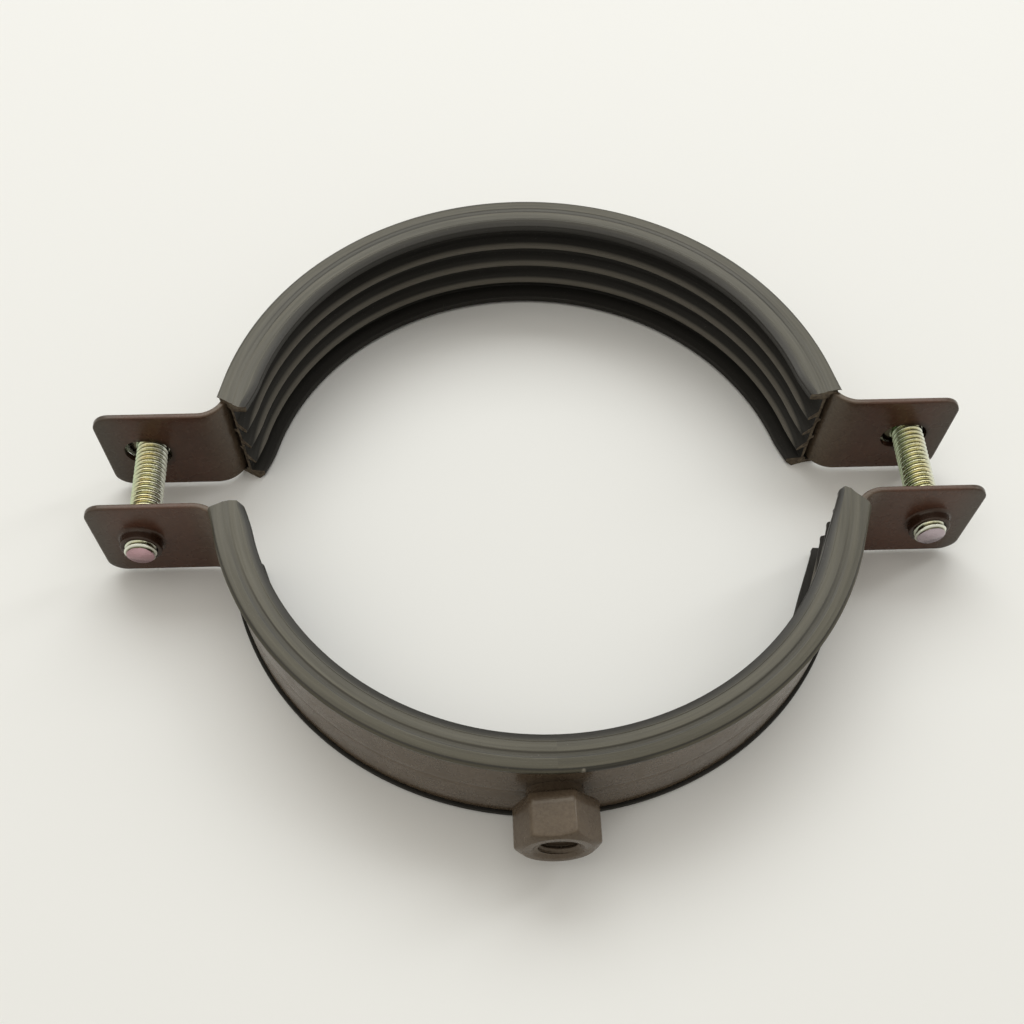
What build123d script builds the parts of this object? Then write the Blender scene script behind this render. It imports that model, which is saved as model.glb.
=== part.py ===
from build123d import *
import os
from math import asin, degrees, radians, sqrt, tan

# A two-piece pipe clamp of folded steel strip with a ribbed rubber lining.
# The pipe axis is Z. The origin is on the axis of the front half's pipe seat, at the
# middle of the strip's width. The front half, with the weld nut, lies on the -Y side.
# All sizes are in millimetres.

# ---- driving dimensions ----

# pipe seat
LINING_BORE_RADIUS = 53.0      # inner land of the lining's two rims
RIM_DEPTH = 5.0                # from that land out to the strip

# steel strip
BAND_WIDTH = 20.0
BAND_THICKNESS = 1.2
EAR_TIP_MARGIN = 8.55          # from the screw's axis to the tip of the ear
EAR_OFFSET_Y = 5.3             # ear's facing side, from the axis of its own half ring
EAR_CORNER_RADIUS = 3.5
EAR_BEND_RADIUS = 6.0          # pipe side of the bend between ring and ear

# how the two halves stand apart in the loosely assembled clamp
HALF_SEPARATION_Y = 8.5
REAR_SHIFT_X = -0.8            # side play of the rear half on the screws

# rubber lining
LINING_END_SETBACK = 1.1       # cut ends, behind the ear's facing side
LINING_SEAT_GAP = 0.05         # between rubber and steel
CORNER_CUT_WIDTH = 2.4         # slanted trim of the rims' outer corners at the ends
CORNER_CUT_LENGTH = 2.2
RIM_TOP_THICKNESS = 1.0        # rubber over the strip's edge
RIM_THICKNESS = 2.0            # from the lining's top to the rim's underside
RIM_BEVEL_HEIGHT = 0.6
RIM_BEVEL_WIDTH = 1.3
HOOK_THICKNESS = 0.9           # lip that folds round the strip's edge
HOOK_OVERLAP = 1.3             # how far the lip reaches down the strip's outer face
WEB_THICKNESS = 1.45
FIN_COUNT = 3
FIN_PITCH = 4.7
FIN_LENGTH = 2.3               # from the web towards the pipe
FIN_ROOT_THICKNESS = 1.5
FIN_TIP_THICKNESS = 0.8
FIN_DROOP = 1.0

# closing screws, M6
SCREW_FROM_RING = 15.15        # axis of the screw, from the ring's outer face
SCREW_CREST_DIAMETER = 5.9
SCREW_LENGTH = 25.0
SCREW_TIP_CHAMFER = 0.5
SCREW_HEAD_FLATS = 10.0
SCREW_HEAD_HEIGHT = 4.0
SCREW_HEAD_CHAMFER_ANGLE = 30.0
SCREW_SLOT_WIDTH = 1.6
SCREW_SLOT_DEPTH = 1.9
CROSS_RECESS_LENGTH = 5.4
CROSS_RECESS_WIDTH = 1.9
CROSS_RECESS_DEPTH = 2.6
HEAD_SEAT_GAP = 0.05           # between screw head and rear ear

# holes in the ears
THREAD_CLEARANCE = 0.05        # radial, between screw crests and the front ear's collar
COLLAR_WALL = 0.8
COLLAR_HEIGHT = 2.0
COLLAR_RIM_CHAMFER = 0.25
COLLAR_MOUTH_CHAMFER = 0.6
SLOT_CLEARANCE = 0.35          # radial, across the slot in the rear ear
SLOT_TRAVEL = 2.4              # extra length of that slot along the ear

# weld nut, M8
NUT_FLATS = 13.0
NUT_LENGTH = 8.5
NUT_TURN = 8.0                 # turn about its own axis, in degrees
NUT_BORE_RADIUS = 3.32
NUT_MOUTH_CHAMFER = 0.75
NUT_FACE_CHAMFER_ANGLE = 30.0
NUT_STAND_OFF = 1.8            # spigot between nut and strip
SPIGOT_RADIUS = 5.0
WELD_GAP = 0.02

# ---- sizes that follow from them ----

BAND_BORE_RADIUS = LINING_BORE_RADIUS + RIM_DEPTH
BAND_OUTER_RADIUS = BAND_BORE_RADIUS + BAND_THICKNESS
SCREW_X = BAND_OUTER_RADIUS + SCREW_FROM_RING
EAR_END_X = SCREW_X + EAR_TIP_MARGIN
HALF_BAND = BAND_WIDTH / 2
HALF_HEIGHT = HALF_BAND + RIM_TOP_THICKNESS
LINING_END_Y = EAR_OFFSET_Y + LINING_END_SETBACK
WEB_BACK_RADIUS = BAND_BORE_RADIUS - LINING_SEAT_GAP
WEB_FRONT_RADIUS = WEB_BACK_RADIUS - WEB_THICKNESS
HOOK_INNER_RADIUS = BAND_OUTER_RADIUS + LINING_SEAT_GAP
HOOK_OUTER_RADIUS = HOOK_INNER_RADIUS + HOOK_THICKNESS
COLLAR_BORE_RADIUS = SCREW_CREST_DIAMETER / 2 + THREAD_CLEARANCE
COLLAR_RADIUS = COLLAR_BORE_RADIUS + COLLAR_WALL
SLOT_WIDTH = SCREW_CREST_DIAMETER + 2 * SLOT_CLEARANCE
SLOT_LENGTH = SLOT_WIDTH + SLOT_TRAVEL
REAR_EAR_BACK_Y = HALF_SEPARATION_Y + EAR_OFFSET_Y + BAND_THICKNESS
NUT_BACK_Y = -(BAND_OUTER_RADIUS + NUT_STAND_OFF)
EVERYTHING = 4 * EAR_END_X     # longer than the whole clamp, for cutting tools


# ---- steel strip ----

def strip_side_path(ring_radius, bend_radius, ear_y):
    """Half of one side of the strip, from the middle of the ring to the ear's tip."""
    bend_centre_y = -(EAR_OFFSET_Y + EAR_BEND_RADIUS)
    centre_distance = BAND_BORE_RADIUS + EAR_BEND_RADIUS
    bend_centre_x = sqrt(centre_distance**2 - bend_centre_y**2)
    ring_end = degrees(asin(bend_centre_y / centre_distance))
    ring = CenterArc((0, 0), ring_radius, -90, 90 + ring_end)
    bend = CenterArc((bend_centre_x, bend_centre_y), bend_radius, 180 + ring_end, -90 - ring_end)
    ear = Line((bend_centre_x, ear_y), (EAR_END_X, ear_y))
    return ring, bend, ear


def strip_outline():
    """Plan view of a whole folded strip: half ring, two bends and two ears, on the -Y side."""
    pipe_side = strip_side_path(BAND_BORE_RADIUS, EAR_BEND_RADIUS, -EAR_OFFSET_Y)
    back_side = strip_side_path(
        BAND_OUTER_RADIUS,
        EAR_BEND_RADIUS - BAND_THICKNESS,
        -EAR_OFFSET_Y - BAND_THICKNESS,
    )
    ear_tip = Line((EAR_END_X, -EAR_OFFSET_Y), (EAR_END_X, -EAR_OFFSET_Y - BAND_THICKNESS))
    middle = Line((0, -BAND_BORE_RADIUS), (0, -BAND_OUTER_RADIUS))
    right_half = make_face([*pipe_side, *back_side, ear_tip, middle])
    return right_half + mirror(right_half, Plane.YZ)


def folded_strip():
    """The strip as a solid, with the ears' corners rounded."""
    strip = extrude(strip_outline(), HALF_BAND, both=True)
    tips = [
        edge
        for edge in strip.edges().filter_by(Axis.Y)
        if abs(edge.center().X) > EAR_END_X - BAND_THICKNESS
    ]
    return fillet(tips, EAR_CORNER_RADIUS)


def along_y(x, y):
    """Sketch plane across the clamp's Y direction, facing -Y, with X to the right and Z up."""
    return Plane(origin=(x, y, 0), x_dir=(1, 0, 0), z_dir=(0, -1, 0))


def threaded_collar(side):
    """Collar drawn out of the front ear's outer face for the screw's thread."""
    outer_face_y = -EAR_OFFSET_Y - BAND_THICKNESS
    ring = along_y(side * SCREW_X, outer_face_y + BAND_THICKNESS / 2) * Circle(COLLAR_RADIUS)
    collar = extrude(ring, COLLAR_HEIGHT + BAND_THICKNESS / 2)
    rim = collar.edges().sort_by(Axis.Y)[0]
    return chamfer(rim, COLLAR_RIM_CHAMFER)


def collar_bore(side):
    """Thread bore through collar and ear, with a rounded-in mouth on the facing side."""
    entry = along_y(side * SCREW_X, -EAR_OFFSET_Y)
    bore = extrude(entry * Circle(COLLAR_BORE_RADIUS), COLLAR_HEIGHT + 2 * BAND_THICKNESS)
    mouth = extrude(
        entry * Circle(COLLAR_BORE_RADIUS + COLLAR_MOUTH_CHAMFER),
        COLLAR_MOUTH_CHAMFER,
        taper=45,
    )
    return bore + mouth


def make_front_band():
    """Strip of the front half, with a threaded collar in each ear."""
    band = folded_strip()
    for side in (-1, 1):
        band += threaded_collar(side)
    for side in (-1, 1):
        band -= collar_bore(side)
    return band


def screw_slot(side):
    """Slot through the rear ear, long in X, so that the halves can find each other."""
    plane = along_y(side * SCREW_X, EAR_OFFSET_Y - BAND_THICKNESS)
    return extrude(plane * SlotOverall(SLOT_LENGTH, SLOT_WIDTH), -3 * BAND_THICKNESS)


def make_rear_band():
    """Strip of the rear half: the same fold turned round, with slotted ears."""
    band = Rot(0, 0, 180) * folded_strip()
    for side in (-1, 1):
        band -= screw_slot(side)
    return band


# ---- rubber lining ----

def rim_profile():
    """Upper rim, drawn as radius and height: land, bevel, top, and the hook round the strip."""
    underside = HALF_HEIGHT - RIM_THICKNESS
    strip_edge = HALF_BAND + LINING_SEAT_GAP
    corner = HALF_HEIGHT - strip_edge
    hook_end = HALF_BAND - HOOK_OVERLAP
    outline = Polyline(
        (LINING_BORE_RADIUS, underside),
        (LINING_BORE_RADIUS, HALF_HEIGHT - RIM_BEVEL_HEIGHT),
        (LINING_BORE_RADIUS + RIM_BEVEL_WIDTH, HALF_HEIGHT),
        (HOOK_OUTER_RADIUS - corner, HALF_HEIGHT),
        (HOOK_OUTER_RADIUS, HALF_HEIGHT - corner),
        (HOOK_OUTER_RADIUS, hook_end),
        (HOOK_INNER_RADIUS, hook_end),
        (HOOK_INNER_RADIUS, strip_edge),
        (WEB_BACK_RADIUS, strip_edge),
        (WEB_BACK_RADIUS, underside),
        close=True,
    )
    return make_face(outline)


def fin_profile(height):
    """One gripping fin, whose tip hangs a little below its root."""
    web_middle = WEB_BACK_RADIUS - WEB_THICKNESS / 2
    tip_radius = WEB_FRONT_RADIUS - FIN_LENGTH
    tip = height - FIN_DROOP
    outline = Polyline(
        (web_middle, height + FIN_ROOT_THICKNESS / 2),
        (tip_radius, tip + FIN_TIP_THICKNESS / 2),
        (tip_radius, tip - FIN_TIP_THICKNESS / 2),
        (web_middle, height - FIN_ROOT_THICKNESS / 2),
        close=True,
    )
    return make_face(outline)


def evenly_spaced(count, pitch):
    """Heights of a row of ribs that is centred on the strip."""
    return [pitch * (number - (count - 1) / 2) for number in range(count)]


def lining_profile():
    """Whole section of the lining: web, two rims and the fins."""
    web_middle = WEB_BACK_RADIUS - WEB_THICKNESS / 2
    web_height = 2 * (HALF_HEIGHT - RIM_THICKNESS)
    section = Pos(web_middle, 0) * Rectangle(WEB_THICKNESS, web_height)
    section += rim_profile()
    section += mirror(rim_profile(), Plane.XZ)
    for height in evenly_spaced(FIN_COUNT, FIN_PITCH):
        section += fin_profile(height)
    return Plane.XZ * section


def square_end_cutter():
    """Block that cuts both ends of the half turn square to Y."""
    depth = 2 * BAND_OUTER_RADIUS
    return Pos(0, LINING_END_Y - depth / 2, 0) * Box(EVERYTHING, depth, EVERYTHING)


def hook_end_cutter():
    """Ring that takes the hook away between the strip's edges, where the strip bends outward."""
    bend_centre_y = EAR_OFFSET_Y + EAR_BEND_RADIUS
    bend_start_y = bend_centre_y * BAND_BORE_RADIUS / (BAND_BORE_RADIUS + EAR_BEND_RADIUS)
    height = BAND_WIDTH + 2 * LINING_SEAT_GAP
    ring = Cylinder(EAR_END_X, height) - Cylinder(WEB_BACK_RADIUS, height)
    return ring & Pos(0, bend_start_y - EAR_END_X, 0) * Box(EVERYTHING, 2 * EAR_END_X, EVERYTHING)


def corner_cutter(side):
    """Wedge that slants off the outer corner of one end."""
    inner_x = HOOK_OUTER_RADIUS - CORNER_CUT_WIDTH
    far_x = HOOK_OUTER_RADIUS + CORNER_CUT_WIDTH
    wedge = Polygon(
        (side * inner_x, 0),
        (side * inner_x, LINING_END_Y),
        (side * far_x, LINING_END_Y + 2 * CORNER_CUT_LENGTH),
        (side * far_x, 0),
        align=None,
    )
    return extrude(wedge, 2 * HALF_HEIGHT, both=True)


def make_rear_lining():
    """Half turn of the section on the +Y side, with its two ends trimmed."""
    lining = revolve(lining_profile(), Axis.Z, revolution_arc=180)
    lining -= square_end_cutter()
    lining -= hook_end_cutter()
    for side in (-1, 1):
        lining -= corner_cutter(side)
    return lining


def make_front_lining():
    """The same lining in the front half."""
    return Rot(0, 0, 180) * make_rear_lining()


# ---- weld nut ----

def chamfer_cone(flats, length, angle):
    """Round blank that cuts a hexagon's corners at its far end, along +Z from the origin."""
    corner_radius = flats / sqrt(3)
    face_radius = 0.475 * flats
    cone_height = (corner_radius - face_radius) * tan(radians(angle))
    straight_height = length - cone_height
    straight = Pos(0, 0, straight_height / 2) * Cylinder(corner_radius, straight_height)
    cone = Cone(corner_radius, face_radius, cone_height)
    return straight + Pos(0, 0, straight_height + cone_height / 2) * cone


def hexagon_blank(flats, length, angle):
    """Hexagon along +Z from the origin, with a flat towards +Y and its far end chamfered."""
    hexagon = extrude(RegularPolygon(flats / 2, 6, major_radius=False), length)
    return hexagon & chamfer_cone(flats, length, angle)


def make_boss_nut():
    """Hexagon weld nut on a spigot that is shaped to the strip's curve."""
    seat = Plane(origin=(0, NUT_BACK_Y, 0), x_dir=(1, 0, 0), z_dir=(0, -1, 0))
    body = hexagon_blank(NUT_FLATS, NUT_LENGTH, NUT_FACE_CHAMFER_ANGLE)
    nut = seat * Rot(0, 0, NUT_TURN) * body
    spigot_reach = NUT_STAND_OFF + BAND_THICKNESS
    nut += seat * Pos(0, 0, -spigot_reach / 2) * Cylinder(SPIGOT_RADIUS, spigot_reach)
    nut -= Cylinder(BAND_OUTER_RADIUS + WELD_GAP, EVERYTHING)
    bore_length = NUT_LENGTH + 2 * spigot_reach
    nut -= seat * Pos(0, 0, NUT_LENGTH - bore_length / 2) * Cylinder(NUT_BORE_RADIUS, bore_length)
    mouth = Cone(NUT_BORE_RADIUS, NUT_BORE_RADIUS + NUT_MOUTH_CHAMFER, NUT_MOUTH_CHAMFER)
    nut -= seat * Pos(0, 0, NUT_LENGTH - NUT_MOUTH_CHAMFER / 2) * mouth
    return nut


# ---- closing screws ----

def screw_recess():
    """Driver slot and cross recess, cut down from the top of the head at the origin."""
    slot = Box(2 * SCREW_HEAD_FLATS, SCREW_SLOT_WIDTH, SCREW_SLOT_DEPTH)
    recess = Pos(0, 0, -SCREW_SLOT_DEPTH / 2) * slot
    for turn in (0, 90):
        arm = Box(CROSS_RECESS_LENGTH, CROSS_RECESS_WIDTH, CROSS_RECESS_DEPTH)
        recess += Rot(0, 0, turn) * Pos(0, 0, -CROSS_RECESS_DEPTH / 2) * arm
    return recess


def make_screw(side):
    """Closing screw: its head bears on the rear ear's back and its tip points to -Y."""
    bearing = Plane(
        origin=(side * SCREW_X, REAR_EAR_BACK_Y + HEAD_SEAT_GAP, 0),
        x_dir=(1, 0, 0),
        z_dir=(0, 1, 0),
    )
    head = hexagon_blank(SCREW_HEAD_FLATS, SCREW_HEAD_HEIGHT, SCREW_HEAD_CHAMFER_ANGLE)
    head -= Pos(0, 0, SCREW_HEAD_HEIGHT) * screw_recess()
    shank = Pos(0, 0, -SCREW_LENGTH / 2) * Cylinder(SCREW_CREST_DIAMETER / 2, SCREW_LENGTH)
    tip = shank.edges().sort_by(Axis.Z)[0]
    screw = head + chamfer(tip, SCREW_TIP_CHAMFER)
    return bearing * screw


# ---- assembly ----

def make_parts():
    """Every piece in its place, by node name."""
    rear_place = Pos(REAR_SHIFT_X, HALF_SEPARATION_Y, 0)
    return {
        "front_band": make_front_band(),
        "boss_nut": make_boss_nut(),
        "front_lining": make_front_lining(),
        "rear_band": rear_place * make_rear_band(),
        "rear_lining": rear_place * make_rear_lining(),
        "left_screw": make_screw(-1),
        "right_screw": make_screw(1),
    }


os.makedirs("parts", exist_ok=True)
for name, solid in make_parts().items():
    export_step(solid, f"parts/{name}.step")
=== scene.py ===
from collections import namedtuple
from math import asin, copysign, cos, exp, floor, pi, radians, sin, sqrt, tan

import bmesh
import bpy
from mathutils import Matrix, Vector, noise


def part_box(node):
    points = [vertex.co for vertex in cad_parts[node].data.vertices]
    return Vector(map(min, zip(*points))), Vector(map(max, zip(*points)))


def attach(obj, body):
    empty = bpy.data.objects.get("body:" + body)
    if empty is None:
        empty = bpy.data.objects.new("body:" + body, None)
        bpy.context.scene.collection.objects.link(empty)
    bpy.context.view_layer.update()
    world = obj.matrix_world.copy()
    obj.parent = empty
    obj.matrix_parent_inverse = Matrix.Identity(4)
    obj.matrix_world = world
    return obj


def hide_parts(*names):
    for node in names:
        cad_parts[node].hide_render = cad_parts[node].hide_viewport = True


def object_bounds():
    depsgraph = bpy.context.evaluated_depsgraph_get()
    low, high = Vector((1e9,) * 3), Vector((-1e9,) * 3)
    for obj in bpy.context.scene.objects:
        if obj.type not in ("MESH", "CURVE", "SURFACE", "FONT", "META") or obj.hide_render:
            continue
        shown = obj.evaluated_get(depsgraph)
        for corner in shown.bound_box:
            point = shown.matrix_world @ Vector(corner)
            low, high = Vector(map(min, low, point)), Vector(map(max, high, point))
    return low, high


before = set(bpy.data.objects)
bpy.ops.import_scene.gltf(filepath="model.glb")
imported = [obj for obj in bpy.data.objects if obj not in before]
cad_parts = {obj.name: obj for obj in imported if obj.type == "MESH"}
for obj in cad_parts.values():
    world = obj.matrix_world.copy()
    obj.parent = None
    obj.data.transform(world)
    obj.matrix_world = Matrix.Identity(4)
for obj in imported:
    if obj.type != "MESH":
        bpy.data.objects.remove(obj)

CAD_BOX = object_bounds()

# ---- sizes in millimetres: the part's source has the large ones, the rest are only here ----

MM = 0.001

BAND_BORE_RADIUS = 58.0
BAND_THICKNESS = 1.2
BAND_WIDTH = 20.0
EAR_OFFSET_Y = 5.3
EAR_BEND_RADIUS = 6.0
EAR_CORNER_RADIUS = 3.5
EAR_END_X = 82.9
PAINT_EDGE_RADIUS = 0.38
ROLL_LINE_DEPTH = 0.07         # faint line rolled round the ring's outer face at mid-height
ROLL_LINE_REACH = 0.5
DENT_FADE_LENGTH = 3.0         # over which the ring's unevenness and rolled line run out

LINING_BORE_RADIUS = 53.0
LINING_TOP = 11.0
LINING_END_Y = 6.4
RIM_THICKNESS = 2.0
HOOK_INNER_RADIUS = 59.25
LIP_RADIUS = 59.9              # the hook's outer nose, just below the rim's top
LIP_OVERLAP = 0.25             # how far the lip comes down over the strip's edge
TEAR_START_X = 4.1             # short tear along the front lip, beside the nut
TEAR_END_X = 16.0
CREASE_RADIUS = 54.6           # fine crease on the rim's top, at the bevel's edge
GROOVE_INNER_RADIUS = 56.3     # shallow groove on the rim's top
GROOVE_OUTER_RADIUS = 57.3
GROOVE_DEPTH = 0.11
PLAIN_END_Y = 12.0             # the crease and groove are almost gone nearer the axis than this
RELIEF_START_Y = 30.0          # and whole farther from it than this
RELIEF_LOSS = 0.8
WEB_BACK_RADIUS = 57.3
WEB_FRONT_RADIUS = 56.55
SEAT_RADIUS = 57.95
FIN_HEIGHTS = (4.7, 0.0, -4.7)
FIN_TIP_RADIUS = 54.2
FIN_ROOT_THICKNESS = 1.5
FIN_TIP_THICKNESS = 0.8
FIN_DROOP = 1.0
BACK_RIB_HEIGHTS = (2.6, -2.6)
BACK_RIB_WIDTH = 0.8
CUT_END_Y = 9.5                # cut faces lie nearer the axis than this
CORNER_ROUND_WIDTH = 1.1       # how far an end's rounded inner corner reaches from the bore

# each lining end: how far from the axis its inner and outer edges stop, the power of the
# slant between them, its inner corner's rounding, where its edges begin to stand outward,
# and by how much they do at the bore and at the lip
LiningEnd = namedtuple("LiningEnd", "inner outer slant corner reach bore_flare lip_flare")
FRONT_LEFT_END = LiningEnd(5.7, 7.4, 3.0, 1.1, 12.0, 0.8, 0.6)
FRONT_RIGHT_END = LiningEnd(5.7, 10.0, 2.0, 0.2, 18.0, 1.8, 1.3)
REAR_LEFT_END = LiningEnd(6.7, 9.6, 1.3, 0.4, 13.0, 1.4, 0.5)
REAR_RIGHT_END = LiningEnd(6.9, 8.1, 1.0, 0.4, 13.0, 1.3, 0.5)

# sockets that tell where a point of a lining lies: X and distance from its end, both from
# its half's axis, radius and height, and a vector for streaks that run along the ring
RingPlace = namedtuple("RingPlace", "x from_end radius height along")

SCREW_X = 74.35
SCREW_CREST_RADIUS = 2.95
SCREW_ROOT_RADIUS = 2.42
SCREW_PITCH = 1.0
SCREW_LENGTH = 25.0
SCREW_TIP_CHAMFER = 0.5
COLLAR_BORE_RADIUS = 3.0
COLLAR_RADIUS = 3.8
COLLAR_HEIGHT = 2.0
COLLAR_FOOT_WIDTH = 1.2
HOLE_MOUTH_WIDTH = 1.1         # how much wider the screw's hole is at its mouth
SLOT_WIDTH = 6.6
SLOT_LENGTH = 9.0

NUT_FLATS = 13.0
NUT_LENGTH = 8.5
NUT_TURN = 8.0
NUT_CORNER_SOFTNESS = 0.2
NUT_CORNER_KEPT = 0.4          # the share of a softened corner that still stands out
NUT_FACE_RADIUS = 5.95         # the flat ring that the face's chamfer leaves
NUT_CHAMFER_ANGLE = 30.0
NUT_CHAMFER_DEPTH = 1.5
NUT_BLEND_POWER = 40           # how tightly the chamfer meets the flats
NUT_BORE_RADIUS = 3.32
NUT_THREAD_DEPTH = 0.62
NUT_PITCH = 1.25
NUT_STAND_OFF = 1.8
SPIGOT_RADIUS = 5.0

# how the rear half lies, read from the frame
REAR_LOW, REAR_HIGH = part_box("rear_band")
REAR_X = (REAR_LOW.x + REAR_HIGH.x) / 2 / MM
REAR_Y = REAR_LOW.y / MM - EAR_OFFSET_Y

# in metres
FLOOR_Z = CAD_BOX[0].z
FLOOR_REACH = 1.5

# ---- camera: where the photographer stood, and the part of the frame that was kept ----

CAMERA_PLACE = (-12.84, -126.42, 178.81)
CAMERA_PITCH = 64.60
CAMERA_YAW = 4.25
CAMERA_ROLL = 2.17
PICTURE_SIZE = 1024
FOCAL_PIXELS = 1128.0
AXIS_ROW = 700.0               # picture row that the lens axis meets
SENSOR_WIDTH = 36.0


# ---- helpers ----

def clamped(value):
    """The value kept between 0 and 1."""
    return min(max(value, 0.0), 1.0)


def to_metres(points):
    """The same points in metres."""
    return [(x * MM, y * MM, z * MM) for x, y, z in points]


def grid_faces(rows, columns):
    """Quads of a grid whose rows follow each other, each row closed on itself."""
    faces = []
    for row in range(rows - 1):
        for column in range(columns):
            after = (column + 1) % columns
            faces.append((
                row * columns + column,
                row * columns + after,
                (row + 1) * columns + after,
                (row + 1) * columns + column,
            ))
    return faces


def cap_faces(rows, columns):
    """One polygon over each end of a closed grid."""
    first = tuple(reversed(range(columns)))
    last = tuple(range((rows - 1) * columns, rows * columns))
    return [first, last]


def closing_faces(rows, columns):
    """Quads that join a grid's last row to its first."""
    faces = []
    last = (rows - 1) * columns
    for column in range(columns):
        after = (column + 1) % columns
        faces.append((last + column, last + after, after, column))
    return faces


def mesh_from(name, points, faces, sharp_angle=40.0):
    """Mesh with outward normals, smooth but for edges sharper than the angle."""
    mesh = bpy.data.meshes.new(name)
    mesh.from_pydata(to_metres(points), [], faces)
    work = bmesh.new()
    work.from_mesh(mesh)
    bmesh.ops.recalc_face_normals(work, faces=work.faces)
    work.to_mesh(mesh)
    work.free()
    mesh.shade_smooth()
    mesh.set_sharp_from_angle(angle=radians(sharp_angle))
    return mesh


def add_piece(name, mesh, material, body, node):
    """Puts a finished mesh on its body, in place of the CAD node it stands for."""
    mesh.materials.clear()
    mesh.materials.append(material)
    piece = bpy.data.objects.new(name, mesh)
    bpy.context.scene.collection.objects.link(piece)
    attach(piece, body)
    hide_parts(node)


def joined(name, meshes):
    """One mesh out of several, smooth but for edges sharper than 40 degrees."""
    work = bmesh.new()
    for mesh in meshes:
        work.from_mesh(mesh)
    mesh = bpy.data.meshes.new(name)
    work.to_mesh(mesh)
    work.free()
    mesh.shade_smooth()
    mesh.set_sharp_from_angle(angle=radians(40.0))
    return mesh


def cut(mesh, cutter):
    """The mesh with the closed cutter mesh taken away."""
    scene = bpy.context.scene
    blank = bpy.data.objects.new("blank", mesh)
    tool = bpy.data.objects.new("tool", cutter)
    scene.collection.objects.link(blank)
    scene.collection.objects.link(tool)
    boolean = blank.modifiers.new("cut", "BOOLEAN")
    boolean.operation = "DIFFERENCE"
    boolean.solver = "EXACT"
    boolean.object = tool
    bpy.context.view_layer.update()
    depsgraph = bpy.context.evaluated_depsgraph_get()
    result = bpy.data.meshes.new_from_object(blank.evaluated_get(depsgraph))
    bpy.data.objects.remove(blank)
    bpy.data.objects.remove(tool)
    return result


def wobble(point, scale, amount, seed):
    """Smooth noise between -amount and amount at a point in millimetres."""
    place = Vector(point) * scale + Vector((seed, 2 * seed, -seed))
    return amount * noise.noise(place)


def rounded(corners, steps=4):
    """Closed outline through (x, y, reach) corners; each curve starts that far before its corner."""
    outline = []
    count = len(corners)
    for index, (x, y, reach) in enumerate(corners):
        if reach == 0:
            outline.append((x, y))
            continue
        corner = Vector((x, y))
        before = Vector(corners[index - 1][:2])
        after = Vector(corners[(index + 1) % count][:2])
        start = corner + (before - corner).normalized() * reach
        end = corner + (after - corner).normalized() * reach
        for step in range(steps + 1):
            t = step / steps
            place = (1 - t)**2 * start + 2 * t * (1 - t) * corner + t**2 * end
            outline.append((place.x, place.y))
    return outline


# ---- steel strip ----

def strip_right_side():
    """Stations on the right half of the strip's middle line: x, y and the pipe-side normal."""
    half = BAND_THICKNESS / 2
    bend_y = -(EAR_OFFSET_Y + EAR_BEND_RADIUS)
    reach = BAND_BORE_RADIUS + EAR_BEND_RADIUS
    bend_x = sqrt(reach**2 - bend_y**2)
    ring_end = asin(bend_y / reach)
    ear_y = -EAR_OFFSET_Y - half
    stations = []
    ring_steps = 90
    for step in range(ring_steps):
        angle = -pi / 2 + (ring_end + pi / 2) * step / ring_steps
        radius = BAND_BORE_RADIUS + half
        stations.append((radius * cos(angle), radius * sin(angle), -cos(angle), -sin(angle)))
    bend_steps = 16
    for step in range(bend_steps):
        angle = pi + ring_end + (-pi / 2 - ring_end) * step / bend_steps
        radius = EAR_BEND_RADIUS - half
        x = bend_x + radius * cos(angle)
        y = bend_y + radius * sin(angle)
        stations.append((x, y, cos(angle), sin(angle)))
    ear_steps = 20
    for step in range(ear_steps):
        x = bend_x + (EAR_END_X - EAR_CORNER_RADIUS - bend_x) * step / ear_steps
        stations.append((x, ear_y, 0.0, 1.0))
    corner_steps = 14
    for step in range(corner_steps + 1):
        x = EAR_END_X - EAR_CORNER_RADIUS * (1 - sin(pi / 2 * step / corner_steps))
        stations.append((x, ear_y, 0.0, 1.0))
    return stations


def strip_stations():
    """Stations along the whole strip, from the left ear's tip to the right ear's tip."""
    right = strip_right_side()
    left = [(-x, y, -nx, ny) for x, y, nx, ny in reversed(right[1:])]
    return left + right


# where the section's long sides carry points, closer together at mid-height
SECTION_SHARES = (
    0.08, 0.16, 0.24, 0.32, 0.38, 0.42, 0.45, 0.47, 0.485,
    0.5, 0.515, 0.53, 0.55, 0.58, 0.62, 0.68, 0.76, 0.84, 0.92,
)


def strip_section(half_thickness, half_width):
    """Cross-section with paint-rounded edges, as offsets towards the pipe and along Z."""
    edge = PAINT_EDGE_RADIUS
    corners = (
        (half_thickness, half_width, edge),
        (-half_thickness, half_width, edge),
        (-half_thickness, -half_width, edge),
        (half_thickness, -half_width, edge),
    )
    outline = rounded(corners)
    filled = []
    for index, start in enumerate(outline):
        end = outline[(index + 1) % len(outline)]
        filled.append(start)
        if abs(end[1] - start[1]) > half_width:
            for share in SECTION_SHARES:
                filled.append((start[0], start[1] + (end[1] - start[1]) * share))
    return filled


def tip_inset(radius, to_tip):
    """How far a rounding of that radius has drawn in at that distance from the ear's tip."""
    if to_tip >= radius:
        return 0.0
    return radius - sqrt(max(radius**2 - (radius - to_tip)**2, 0.0))


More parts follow.
